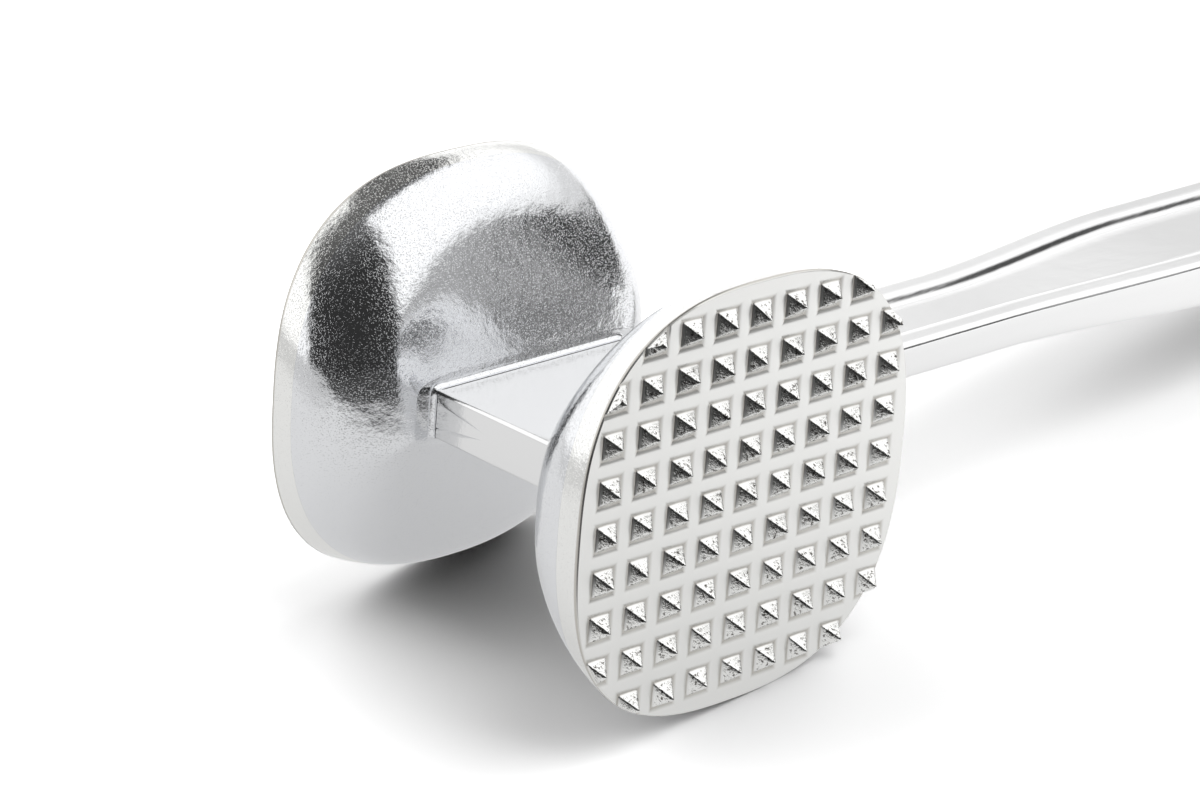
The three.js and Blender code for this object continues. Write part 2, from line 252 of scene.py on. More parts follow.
def round_cornered(half_width, half_height, corner):
    """Distance from the middle to a rectangle with round corners in each of the angles.

    A ray leaves through a straight side, unless it meets that side beyond where the corner's
    arc begins. Then it ends on the arc: t = d.c + sqrt((d.c)^2 - |c|^2 + r^2), for the ray's
    direction d, the arc's middle c and its radius r.
    """
    across = np.abs(np.cos(ANGLES))
    up = np.abs(np.sin(ANGLES))
    straight = 1 / np.maximum(across / half_width, up / half_height)
    middle_x = half_width - corner
    middle_z = half_height - corner
    along = across * middle_x + up * middle_z
    square = along ** 2 - middle_x ** 2 - middle_z ** 2 + corner ** 2
    arc = along + np.sqrt(np.maximum(square, 0.0))
    in_corner = (straight * across > middle_x) & (straight * up > middle_z)
    return np.where(in_corner, arc, straight)


def mix(a, b, share):
    """A share of the way from a to b."""
    return a + (b - a) * share


# %% Rings of the head
def ring_at(distances, depth, end, middle=WEB_MIDDLE):
    """One ring of the head from its distances to the middle, at a depth behind an end's face."""
    x = middle + distances * np.cos(ANGLES)
    z = distances * np.sin(ANGLES)
    return np.stack([x, np.full_like(x, end * (depth - HALF_LENGTH)), z], axis=-1)


def head_ring(depth, end):
    """The head's outline at a depth behind the face. end is 1 in front and -1 at the rear.

    1 - s^a says how much of the face's size is left at a share s of the depth, with one a for
    the sides and one for top and bottom.
    """
    share = depth / CUP_DEPTH
    side = 1 - share ** SIDE_FLARE
    top = 1 - share ** TOP_FLARE
    half_width = mix(WEB_HALF_WIDTH + NECK_SIDE_MARGIN, FACE_HALF_WIDTH, side)
    half_height = mix(WEB_HALF_THICKNESS + NECK_TOP_MARGIN, FACE_HALF_HEIGHT, top)
    squareness = mix(FACE_SQUARENESS, NECK_SQUARENESS, (1 - top) ** 3)
    squareness -= FLANK_ROUNDING * math.sin(math.pi * share)
    distances = superellipse(half_width, half_height, squareness)
    return ring_at(distances, depth, end, WEB_MIDDLE * (1 - side))


def face_ring(inset, depth, end):
    """The striking face's outline, drawn in by an inset, at any depth."""
    distances = superellipse(FACE_HALF_WIDTH - inset, FACE_HALF_HEIGHT - inset, FACE_SQUARENESS)
    return ring_at(distances, depth, end, 0.0)


for depth in (0.0, PLATE_THICKNESS, CUP_DEPTH):
    across, _, up = np.ptp(head_ring(depth, 1), axis=0).round(1)
    print("at", depth, "mm behind the face the head is", across, "mm wide and", up, "mm high")


# %% [markdown]
# ## The flared cups
#
# On the real mallet each cup is a die casting, tumbled to a soft shine. It could be modelled as
# a cage of a few dozen faces under a Subdivision Surface, but then its silhouette would only be
# near the outline above. Rings worked out by the formula lie on it exactly. A small fillet runs
# round the web where it enters the cup. The pocket behind the striking plate and the two screw
# holes are cut afterwards, as they would be on the casting.

# %% Cup sizes
# Millimetres. The seam is the gap between plate and rim, the clearance the one round the web.
SEAM = 0.01
WEB_CLEARANCE = 0.06
WEB_EDGE = 0.5
FILLET = 0.9
SOCKET_FLOOR = 14.0
MOUTH_INSET = 4.5
POCKET_INSET = 12.5
POCKET_FLOOR = 11.0
SPIGOT_LENGTH = 2.0
FIT = 0.3
SCREW_SPACING = 18.0
SCREW_HOLE_RADIUS = 2.3

# A drill starts this far outside the wall that it goes through
DRILL_OVER = 2.0

# How finely the flank and a drill are drawn. The flank's rings crowd towards the neck.
FLARE_RINGS = 84
FLARE_CROWDING = 1.5
BAR_SIDES = 48


# %% Cup rings and round bars
def cup_rings(end):
    """Rings from the rim over the flank and the fillet, then down into the socket."""
    rim = PLATE_THICKNESS + SEAM
    left = np.linspace(1.0, 0.0, FLARE_RINGS) ** FLARE_CROWDING
    rings = [head_ring(CUP_DEPTH - (CUP_DEPTH - rim) * share, end) for share in left]
    for angle in QUARTER_TURN:
        out = WEB_CLEARANCE + FILLET * (1 - math.sin(angle))
        outline = round_cornered(WEB_HALF_WIDTH + out, WEB_HALF_THICKNESS + out, WEB_EDGE + out)
        rings.append(ring_at(outline, CUP_DEPTH + FILLET * (1 - math.cos(angle)), end))
    rings.append(ring_at(outline, SOCKET_FLOOR, end))
    return rings


def round_bar(name, radius, x, from_y, to_y):
    """A plain round bar along y."""
    turn = np.linspace(0.0, 2 * math.pi, BAR_SIDES, endpoint=False)
    ring = np.stack([x + radius * np.cos(turn), np.zeros(BAR_SIDES), radius * np.sin(turn)], axis=-1)
    return loft(name, [ring + [0.0, y, 0.0] for y in (from_y, to_y)])


def screw_places():
    """Where along x the two screws of each end go through."""
    return [WEB_MIDDLE + way * SCREW_SPACING / 2 for way in (1, -1)]


# %% Cups
cups = {}
for name, end in (("front", 1), ("rear", -1)):
    cup = loft(f"{name}_cup_casting", cup_rings(end))
    pocket = loft("pocket", [
        face_ring(MOUTH_INSET, 0.0, end),
        face_ring(MOUTH_INSET, PLATE_THICKNESS + SPIGOT_LENGTH + FIT, end),
        face_ring(POCKET_INSET, POCKET_FLOOR, end),
    ])
    combine(cup, pocket, "DIFFERENCE")
    for x in screw_places():
        ends = [end * (depth - HALF_LENGTH) for depth in (POCKET_FLOOR - DRILL_OVER, CUP_DEPTH)]
        combine(cup, round_bar("screw_hole", SCREW_HOLE_RADIUS, x, *ends), "DIFFERENCE")
    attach(cup, "root")
    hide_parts(f"{name}_cup")
    cups[name] = cup
    report(cup)

# %% [markdown]
# ## The striking plates
#
# Each plate is the front slice of the head's flare. Its face carries pyramids on a square grid,
# and round each one runs a shallow trench that the mould's cutter left. The pyramids have
# rounded ridges, which is what draws the dark line down each of them, and no two are quite
# alike. One tile of the grid is a row of square rings from the apex out to the tile's edge, and
# its points crowd near the corners, so that every ridge is cut by several faces. All the tiles
# are worked out at once, as one array. The slab that they make is then cut to the face's
# outline, which also cuts through the teeth that stand on the edge, as on the real plate.

# %% Teeth
# The first six are millimetres. rings are shares of the way from the apex to the foot, and
# corners says which of the points near a ring's corners are drawn.
COARSE_TEETH = {
    "pitch": 6.3, "base": 3.6, "height": 2.4, "trench": 0.8, "sink": 0.22, "margin": 0.0,
    "rings": np.array([0.06, 0.14, 0.26, 0.45, 0.65, 0.85, 0.95, 1.0]), "corners": [0, 1, 2, 3],
}
FINE_TEETH = {
    "pitch": 4.2, "base": 2.8, "height": 1.7, "trench": 0.5, "sink": 0.13, "margin": 2.0,
    "rings": np.array([0.12, 0.35, 0.7, 1.0]), "corners": [0, 2],
}
TRENCH_RINGS = np.array([0.2, 0.4, 0.6, 0.8, 1.0])

# How far a point lies from its ring's corner: millimetres, or a share of the side if that is less
CORNER_OFFSETS = np.array([0.0, 0.07, 0.16, 0.32])
CORNER_SHARES = np.array([1.0, 0.8, 0.56, 0.3])

APEX_ROUNDING = 0.42
RIDGE_ROUNDING = 0.26
FOOT_ROUNDING = 0.2

# How far an apex strays sideways, in millimetres, and the share by which heights differ
APEX_WANDER = 0.1
HEIGHT_WANDER = 0.05


def smooth_max(a, b, width):
    """(a + b + sqrt((a - b)^2 + w^2)) / 2: the larger of two, with the corner between rounded."""
    return (a + b + np.sqrt((a - b) ** 2 + width ** 2)) / 2


def square_ring(size, corners):
    """Points round a square of half side size, crowded near its corners, counterclockwise."""
    along = np.maximum(1 - CORNER_OFFSETS[corners] / size, CORNER_SHARES[corners])
    side = np.concatenate([-along, [0.0], along[:0:-1]])
    one = np.ones_like(side)
    sides = [(one, side), (-side, one), (-one, -side), (side, -one)]
    return size * np.concatenate([np.stack(pair, axis=-1) for pair in sides])


def tooth_height(u, v, teeth):
    """Height above the land at (u, v) from a tooth's middle.

    m is the larger of |u| and |v|, so its level lines are squares. The pyramid falls in a
    straight line with m, and the trench comes back up to the land as (1 - t)^2, steeply first.
    """
    half = teeth["base"] / 2
    nearest = np.maximum(np.abs(u), np.abs(v))
    ridge = mix(APEX_ROUNDING, RIDGE_ROUNDING, np.clip(nearest / half, 0.0, 1.0))
    m = smooth_max(np.abs(u), np.abs(v), ridge)
    pyramid = (teeth["height"] + teeth["sink"]) * (1 - m / half) - teeth["sink"]
    out = np.clip((nearest - half) / teeth["trench"], 0.0, 1.0)
    trench = -teeth["sink"] * (1 - out) ** 2
    return np.where(out < 1, smooth_max(pyramid, trench, FOOT_ROUNDING * (1 - out)), 0.0)


# %% Grid of teeth
def tile_of(teeth):
    """One tile: square rings out to the tile's edge, then its middle. Gives points and rings."""
    half = teeth["base"] / 2
    trench = half + teeth["trench"] * TRENCH_RINGS
    sizes = np.concatenate([half * teeth["rings"], trench, [teeth["pitch"] / 2]])
    rings = np.stack([square_ring(size, teeth["corners"]) for size in sizes])
    return np.concatenate([rings.reshape(-1, 2), [[0.0, 0.0]]]), rings


def tile_middles(pitch):
    """The middles of all tiles of a square grid that covers the face."""
    reach = int(FACE_HALF_WIDTH // pitch) + 1
    steps = np.arange(-reach, reach + 1)
    grid = np.stack(np.meshgrid(steps, steps, indexing="ij"), axis=-1).reshape(-1, 2)
    return grid * pitch


def teeth_points(tile, middles, teeth, end, random):
    """All tiles' points. A tile has a tooth if its middle lies inside the face's outline.

    The arrays are shaped (tiles, points of a tile). An apex strays by its own random step, and
    the points below it follow by the share of its height that they have.
    """
    reached = np.abs(middles) + teeth["margin"]
    inside = (reached / [FACE_HALF_WIDTH, FACE_HALF_HEIGHT]) ** FACE_SQUARENESS
    standing = (inside.sum(axis=1) < 1).astype(float)
    stretch = standing * (1 + HEIGHT_WANDER * random.normal(size=len(middles)))
    wander = APEX_WANDER * random.normal(size=(len(middles), 1, 2))
    height = tooth_height(tile[:, 0], tile[:, 1], teeth) * stretch[:, None]
    lean = np.clip(height / teeth["height"], 0.0, 1.0)[..., None] * wander
    flat = middles[:, None, :] + tile + lean
    depth = np.broadcast_to(end * (-height - HALF_LENGTH), flat.shape[:2])
    return np.stack([flat[..., 0], depth, flat[..., 1]], axis=-1).reshape(-1, 3)


# %% Slab of teeth
# In millimetres, deeper than the plate with its spigot
SLAB_DEPTH = 8.0


def thicken(slab, depth):
    """Draws the edge of an open sheet back along y, and closes it with one flat face."""
    work = bmesh.new()
    work.from_mesh(slab.data)
    edge = [e for e in work.edges if e.is_boundary]
    sides = bmesh.ops.extrude_edge_only(work, edges=edge)["geom"]
    lowered = [v for v in sides if isinstance(v, bmesh.types.BMVert)]
    bmesh.ops.translate(work, verts=lowered, vec=(0.0, depth * MM, 0.0))
    rim = [e for e in work.edges if e.is_boundary]
    bmesh.ops.edgeloop_fill(work, edges=rim)
    bmesh.ops.recalc_face_normals(work, faces=work.faces)
    work.to_mesh(slab.data)
    work.free()


def plate_slab(teeth, end, random):
    """A square slab under the whole grid of teeth, with its land at depth 0."""
    tile, rings = tile_of(teeth)
    number, count = rings.shape[:2]
    middles = tile_middles(teeth["pitch"])
    points = teeth_points(tile, middles, teeth, end, random)
    starts = (np.arange(len(middles)) * len(tile))[:, None, None]
    faces = (ring_quads(number, count) + starts).reshape(-1, 4).tolist()
    fan = ring_fan(number * count, 0, count)[:, TURNED_OVER]
    faces += (fan + starts).reshape(-1, 3).tolist()
    slab = new_piece("slab", points, faces)
    thicken(slab, end * SLAB_DEPTH)
    return slab


# %% Plate without teeth
# Millimetres. The chamfer bulges a little, because its middle ring lies less than halfway in.
FACE_CHAMFER = 0.22
CHAMFER_START = 0.02
CHAMFER_MIDDLE = 0.4 * FACE_CHAMFER
WALL_START = 0.5
WALL_RINGS = 9

# The outline goes on in front of the face, past the tips of the teeth, so that it trims them
OVER_TEETH = 4.0


def plate_rings(end):
    """Rings of the plate without its teeth: the chamfered edge, the wall, the back, the spigot."""
    rings = [face_ring(FACE_CHAMFER, depth, end) for depth in (-OVER_TEETH, CHAMFER_START)]
    rings += [face_ring(CHAMFER_MIDDLE, CHAMFER_MIDDLE, end), head_ring(FACE_CHAMFER, end)]
    wall = np.linspace(WALL_START, PLATE_THICKNESS, WALL_RINGS)
    rings += [head_ring(depth, end) for depth in wall]
    spigot_inset = MOUTH_INSET + FIT
    spigot_end = PLATE_THICKNESS + SPIGOT_LENGTH
    rings += [face_ring(spigot_inset, depth, end) for depth in (PLATE_THICKNESS, spigot_end)]
    return rings


# %% Striking plates
random = np.random.default_rng(seed=7)
plates = {}
for name, end, teeth in (("front", 1, COARSE_TEETH), ("rear", -1, FINE_TEETH)):
    plate = loft(f"{name}_striking_plate", plate_rings(end))
    combine(plate, plate_slab(teeth, end, random), "INTERSECT")
    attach(plate, "root")
    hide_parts(f"{name}_tooth_plate")
    plates[name] = plate
    report(plate)

# %% [markdown]
# ## The handle
#
# The handle is one flat bar: the web between the cups, the neck, and the grip with a recessed
# panel above and below. It could be a box model with a Bevel, but the panel's walls have to
# keep their slope all round its half-round ends. So the bar is a set of lines that each stay a
# constant inset from the plan outline. A line's height is the bar's profile at that inset: the
# round edge, the land, the panel's wall and its floor. Where a line runs out, at a round end,
# it goes on along the middle, at the height that the profile has there.

# %% Handle sizes
# Millimetres. A START, END, FULL or THIN is a place along x, from the middle of the head.
WEB_START = WEB_MIDDLE - WEB_HALF_WIDTH
WEB_END = WEB_MIDDLE + WEB_HALF_WIDTH
WEB_FACE = SOCKET_FLOOR + FIT
WEB_HALF_LENGTH = HALF_LENGTH - WEB_FACE
SHOULDER = 0.3
HANDLE_END = 230.0
NECK_HALF_WIDTH = 9.6
NECK_HALF_THICKNESS = 2.75
NECK_FILLET = 3.8
NECK_THIN = 34.0
GRIP_START = 74.0
GRIP_FULL = 120.0
GRIP_HALF_WIDTH = 12.8
GRIP_HALF_THICKNESS = 3.6
EDGE_ROUNDING = 0.9
PANEL_START = 50.0
PANEL_END = 206.0
PANEL_DEPTH = 1.5
PANEL_RIM = 4.4
PANEL_WALL = 1.3


# %% Plan and thickness of the bar
def smoothstep(x, low, high):
    """3t^2 - 2t^3, for the share t of the way from low to high."""
    t = np.clip((x - low) / (high - low), 0.0, 1.0)
    return t * t * (3 - 2 * t)


def bar_half_width(x):
    """The web, its hidden shoulder in the socket, the fillet, the neck and the grip."""
    neck = mix(NECK_HALF_WIDTH, GRIP_HALF_WIDTH, smoothstep(x, GRIP_START, GRIP_FULL))
    back = np.clip(WEB_END + NECK_FILLET - x, 0.0, NECK_FILLET)
    filleted = neck + NECK_FILLET - np.sqrt(NECK_FILLET ** 2 - back ** 2)
    widest = NECK_HALF_WIDTH + NECK_FILLET
    past = np.clip((x - WEB_END + SHOULDER) / SHOULDER, 0.0, 1.0)
    shoulder = widest + (WEB_HALF_LENGTH - widest) * np.sqrt(1 - past ** 2)
    return np.where(x < WEB_END, shoulder, filleted)


def bar_half_thickness(x):
    """The web's, thinner at the neck, thicker again in the grip, rounded off at the tip side."""
    neck = mix(WEB_HALF_THICKNESS, NECK_HALF_THICKNESS, smoothstep(x, WEB_END, NECK_THIN))
    full = mix(neck, GRIP_HALF_THICKNESS, smoothstep(x, GRIP_START, GRIP_FULL))
    to_edge = np.clip(WEB_START + WEB_EDGE - x, 0.0, WEB_EDGE)
    return full - WEB_EDGE + np.sqrt(WEB_EDGE ** 2 - to_edge ** 2)


# %% Sections along the bar
# The last section stops this many degrees round the tip's quarter turn, and a fan closes it
BLUNT_TIP = 89.4
TIP_SECTIONS = 31


def crowded(start, end, count, power):
    """Values from start to end, closer together at the start: start + (end - start) s^power."""
    return start + (end - start) * np.linspace(0.0, 1.0, count) ** power


def handle_stations():
    """Where the handle's section is drawn: densely wherever its plan or thickness curves.

    A stretch is its start, its end, its number of sections and how they crowd at its start.
    """
    near = NECK_HALF_WIDTH - PANEL_RIM + PANEL_WALL / 2
    far = GRIP_HALF_WIDTH - PANEL_RIM + PANEL_WALL / 2
    stretches = (
        (WEB_START + WEB_EDGE, WEB_END - SHOULDER, 24, 1.0),
        (WEB_END, WEB_END - SHOULDER, 6, 2.0),
        (WEB_END, WEB_END + NECK_FILLET, 14, 2.0),
        (WEB_END + NECK_FILLET, PANEL_START - PANEL_WALL / 2, 22, 1.0),
        (PANEL_START - PANEL_WALL / 2, PANEL_START + near, 26, 1.6),
        (PANEL_START + near, PANEL_END - far, 90, 1.0),
        (PANEL_END + PANEL_WALL / 2, PANEL_END - far, 30, 1.6),
    )
    web_edge = WEB_START + WEB_EDGE * (1 - np.cos(QUARTER_TURN))
    tip_turn = np.radians(np.linspace(0.0, BLUNT_TIP, TIP_SECTIONS))
    tip = HANDLE_END - GRIP_HALF_WIDTH * (1 - np.sin(tip_turn))
    parts = [web_edge, tip] + [crowded(*stretch) for stretch in stretches]
    return np.unique(np.concatenate(parts).round(4))


# %% Lines along the bar
# Insets of the lines on the land in millimetres, lines on the panel's wall, and the lines on
# its floor as shares of the floor's half width
LAND_INSETS = [1.4, 2.6, PANEL_RIM - PANEL_WALL / 2]
WALL_LINES = 10
FLOOR_SHARES = np.array([0.66, 0.33, 0.0])


def outer_lines(x):
    """The side, the round edge and the land, as y and z of each line at each station."""
    edge_insets = EDGE_ROUNDING * (1 - np.cos(QUARTER_TURN))
    inset = np.concatenate([[0.0, 0.0], edge_insets, LAND_INSETS])[None]
    past_tip = np.maximum(x - (HANDLE_END - GRIP_HALF_WIDTH), 0.0)
    round_y = np.sqrt(np.maximum((GRIP_HALF_WIDTH - inset) ** 2 - past_tip ** 2, 0.0))
    y = np.where(past_tip > 0, round_y, bar_half_width(x) - inset)
    reached = np.where(past_tip > 0, np.minimum(inset, GRIP_HALF_WIDTH - past_tip), inset)
    to_land = np.clip(EDGE_ROUNDING - reached, 0.0, EDGE_ROUNDING)
    z = bar_half_thickness(x) - EDGE_ROUNDING + np.sqrt(EDGE_ROUNDING ** 2 - to_land ** 2)
    z[:, 0] = 0.0
    z[:, 1] /= 2
    return y, z


def panel_lines(x, land_z):
    """The panel's wall and floor below the land, as y and z of each line at each station.

    The wall goes down as half a wave of a cosine. Beyond the middles of the panel's round ends
    a line follows y^2 = r^2 - x^2, and where it has run out it stays at its depth in the middle.
    """
    share = np.linspace(0.0, 1.0, WALL_LINES + 1)[1:]
    before_start = PANEL_START + NECK_HALF_WIDTH - PANEL_RIM - x
    past_end = x - (PANEL_END - GRIP_HALF_WIDTH + PANEL_RIM)
    beyond = np.maximum(np.maximum(before_start, past_end), 0.0)
    half_width = bar_half_width(np.clip(x, PANEL_START, PANEL_END)) - PANEL_RIM
    radius = half_width + PANEL_WALL * (0.5 - share)
    wall_y = np.sqrt(np.maximum(radius ** 2 - beyond ** 2, 0.0))
    deepest = np.clip((half_width + PANEL_WALL / 2 - beyond) / PANEL_WALL, 0.0, 1.0)
    reached = np.minimum(share, deepest)
    wall_z = land_z - PANEL_DEPTH * (1 - np.cos(math.pi * reached)) / 2
    floor_y = wall_y[:, -1:] * FLOOR_SHARES
    floor_z = np.repeat(wall_z[:, -1:], len(FLOOR_SHARES), axis=1)
    return np.concatenate([wall_y, floor_y], axis=1), np.concatenate([wall_z, floor_z], axis=1)


def handle_rings():
    """Sections of the bar, each a ring of points from the side over the top and round."""
    x = handle_stations()[:, None]
    outer_y, outer_z = outer_lines(x)
    panel_y, panel_z = panel_lines(x, outer_z[:, -1:])
    y = np.concatenate([outer_y, panel_y], axis=1)
    z = np.concatenate([outer_z, panel_z], axis=1)
    right_to_top = np.stack([np.broadcast_to(x, y.shape), y, z], axis=-1)
    top_to_left = right_to_top[:, ::-1] * [1, -1, 1]
    left_to_bottom = right_to_top * [1, -1, -1]
    bottom_to_right = right_to_top[:, ::-1] * [1, 1, -1]
    quarters = [right_to_top, top_to_left[:, 1:], left_to_bottom[:, 1:], bottom_to_right[:, 1:-1]]
    return np.concatenate(quarters, axis=1)


# %% Hanging hole
# Millimetres. The rounding ends a little outside the bar's face, so that it leaves no sliver.
HANG_HOLE_RADIUS = 4.0
HANG_HOLE_ROUNDING = 0.6
CUT_OVER = 0.01
HANG_HOLE_SIDES = 96


def hang_hole():
    """A round cutter that widens in a quarter round at the bar's two faces."""
    height = GRIP_HALF_THICKNESS - HANG_HOLE_ROUNDING * (1 - np.sin(QUARTER_TURN)) + CUT_OVER
    radius = HANG_HOLE_RADIUS + HANG_HOLE_ROUNDING * (1 - np.cos(QUARTER_TURN))
    height = np.concatenate([height, [2 * GRIP_HALF_THICKNESS]])
    radius = np.concatenate([radius, [radius[-1]]])
    height = np.concatenate([-height[::-1], height])
    radius = np.concatenate([radius[::-1], radius])
    turn = np.linspace(0.0, 2 * math.pi, HANG_HOLE_SIDES, endpoint=False)
    x = HANDLE_END - GRIP_HALF_WIDTH + radius[:, None] * np.cos(turn)
    y = radius[:, None] * np.sin(turn)
    return loft("hang_hole", np.stack([x, y, np.broadcast_to(height[:, None], x.shape)], axis=-1))


# %% Handle
# How far a screw goes into the web, and where its drill starts outside it, in millimetres
SCREW_GRIP = 8.0
THREAD_OVER = 1.0

handle = loft("handle_bar", handle_rings())
combine(handle, hang_hole(), "DIFFERENCE")
for x in screw_places():
    for end in (1, -1):
        ends = [end * (WEB_HALF_LENGTH + over) for over in (THREAD_OVER, -SCREW_GRIP - FIT)]
        combine(handle, round_bar("thread_hole", SCREW_HOLE_RADIUS, x, *ends), "DIFFERENCE")
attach(handle, "root")
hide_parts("handle")
report(handle)

# %% [markdown]
# ## Colours and nodes
#
# Finishes are written as sRGB hex values, as a paint chart gives them, and turned to the linear
# values that Blender's light needs. One helper adds a shader node with its settings and links.

# %% Material helpers
def linear(hex_colour):
    """#rrggbb in sRGB to linear RGBA: below 0.04045 a straight line, above it a power of 2.4."""
    parts = [int(hex_colour[i:i + 2], 16) / 255 for i in (1, 3, 5)]
    return [c / 12.92 if c <= 0.04045 else ((c + 0.055) / 1.055) ** 2.4 for c in parts] + [1.0]


def add_node(tree, kind, inputs=(), **settings):
    """Adds a node, sets its settings, and sets or links its inputs: (socket, value or output)."""
    node = tree.nodes.new(kind)
    for setting, value in settings.items():
        setattr(node, setting, value)
    for socket, value in inputs:
        if isinstance(value, bpy.types.NodeSocket):
            tree.links.new(value, node.inputs[socket])
        else:
            node.inputs[socket].default_value = value
    return node


def new_metal(name, base, roughness):
    """A bare metal: a Principled shader with metallic 1 and the default IOR.

    Gives the material, its tree, its shader, and the place on the object, which patterns read.
    """
    material = bpy.data.materials.new(name)
    material.use_nodes = True
    tree = material.node_tree
    shader = tree.nodes["Principled BSDF"]
    shader.inputs["Base Color"].default_value = linear(base)
    shader.inputs["Metallic"].default_value = 1.0
    shader.inputs["Roughness"].default_value = roughness
    return material, tree, shader, add_node(tree, "ShaderNodeTexCoord").outputs["Object"]


def grain_scale(width_mm):
    """Noise scale on Object coordinates, which are metres, for grains of a width in mm."""
    return 1.0 / (width_mm * MM)


# %% [markdown]
# ## Tumbled cast aluminium
#
# The cups are die castings tumbled with ceramic stones. The mould leaves a mottled skin with
# waves a few millimetres wide, and the stones leave fine dents, a few of them deep. An image
# texture could show this, but not at every distance. Here noise makes three bumps, one on top
# of the other: the waves mottle the flat parts and fray the edges of a reflection, and the deep
# dents are the bright specks in its dark parts. The real dents are about 0.1 mm. That is too
# fine to show, so they are drawn 0.2 mm wide.

# %% Tumbled skin
SATIN_ALUMINIUM = "#e3e4e6"
SATIN_ROUGHNESS = 0.11

# Widths and heights in millimetres. Noise runs from 0 to 1, and where it passes DEEP_FROM a dent
# starts to be a deep one.
WAVE_WIDTH = 2.6
WAVE_HEIGHT = 0.075
WAVE_FINENESS = 0.62
DENT_WIDTH = 0.2
DENT_HEIGHT = 0.004
DEEP_DENT = 0.017
DEEP_FROM = 0.57
DEEP_TO = 0.72


def tumbled_skin(tree, place, share):
    """Waves, dents and the deepest dents on top of each other. share is how much of them shows."""
    waves = add_node(tree, "ShaderNodeTexNoise", [
        ("Vector", place), ("Scale", grain_scale(WAVE_WIDTH)), ("Detail", 4.0),
        ("Roughness", WAVE_FINENESS)])
    dents = add_node(tree, "ShaderNodeTexNoise", [
        ("Vector", place), ("Scale", grain_scale(DENT_WIDTH)), ("Detail", 1.0)])
    deepest = add_node(tree, "ShaderNodeMapRange", [
        ("Value", dents.outputs["Fac"]), ("From Min", DEEP_FROM), ("From Max", DEEP_TO),
        ("To Max", -1.0)], interpolation_type="SMOOTHSTEP")
    below = []
    for height, distance in (
        (waves.outputs["Fac"], WAVE_HEIGHT),
        (dents.outputs["Fac"], DENT_HEIGHT),
        (deepest.outputs["Result"], DEEP_DENT),
    ):
        bump = add_node(tree, "ShaderNodeBump", [
            ("Height", height), ("Strength", share), ("Distance", distance * MM)] + below)
        below = [("Normal", bump.outputs["Normal"])]
    return bump.outputs["Normal"]


# %% Satin casting
def satin_casting():
    """Tumbled die casting: a bright soft shine with a mottled, speckled skin."""
    material, tree, shader, place = new_metal(
        "tumbled_cast_aluminium", SATIN_ALUMINIUM, SATIN_ROUGHNESS)
    tree.links.new(tumbled_skin(tree, place, 1.0), shader.inputs["Normal"])
    return material


# %% [markdown]
# ## Matt cast plate
#
# The striking face is left as it came out of the mould: pale and matt on the land. The moats round
# the teeth are greyed with painted shade, the more the deeper they go. The teeth are shinier, and
# darker in their pits. The plate's wall is tumbled together with the cup, so it has that skin.
# All of this could be painted with vertex colours. It depends only on how far a point stands
# above the land, though, so that distance is worked out and cut into bands.

# %% Bands of the plate
MATT_ALUMINIUM = "#ececea"
# Painted shade for the moats round the teeth
MOAT_SHADE_GREY = "#c2bfb9"
PIT_DARK_GREY = "#5c5854"
MATT_ROUGHNESS = 0.3
FACET_ROUGHNESS = 0.13

# Pits in millimetres, how much of them shows on the land, and the noise values below which they
# start to darken the teeth and are darkest
PIT_WIDTH = 0.5
PIT_HEIGHT = 0.09
PIT_FINENESS = 0.7
LAND_PITS = 0.1
PIT_DARK_FROM = 0.46
PIT_DARK_FULL = 0.36

# A band grows from 0 to 1 between its two heights above the land, in millimetres
PLATE_BANDS = {
    "face": (-0.6, -0.4),
    # Painted shade: the trench round each tooth is greyed as it goes down
    "moat_shade": (-0.01, -0.16),
    "tooth": (0.05, 0.3),
}


def plate_bands(tree, place):
    """How much of each band a place has, by its height |y - middle| - half length above the land."""
    height = add_node(tree, "ShaderNodeSeparateXYZ", [("Vector", place)]).outputs["Y"]
    for operation, amount in (
        ("SUBTRACT", float(tool_origin[1])),
        ("ABSOLUTE", 0.0),
        ("SUBTRACT", HALF_LENGTH * MM),
    ):
        height = add_node(tree, "ShaderNodeMath", [
            (0, height), (1, amount)], operation=operation).outputs["Value"]
    bands = {}
    for name, (low, high) in PLATE_BANDS.items():
        bands[name] = add_node(tree, "ShaderNodeMapRange", [
            ("Value", height), ("From Min", low * MM), ("From Max", high * MM)]).outputs["Result"]
    return bands


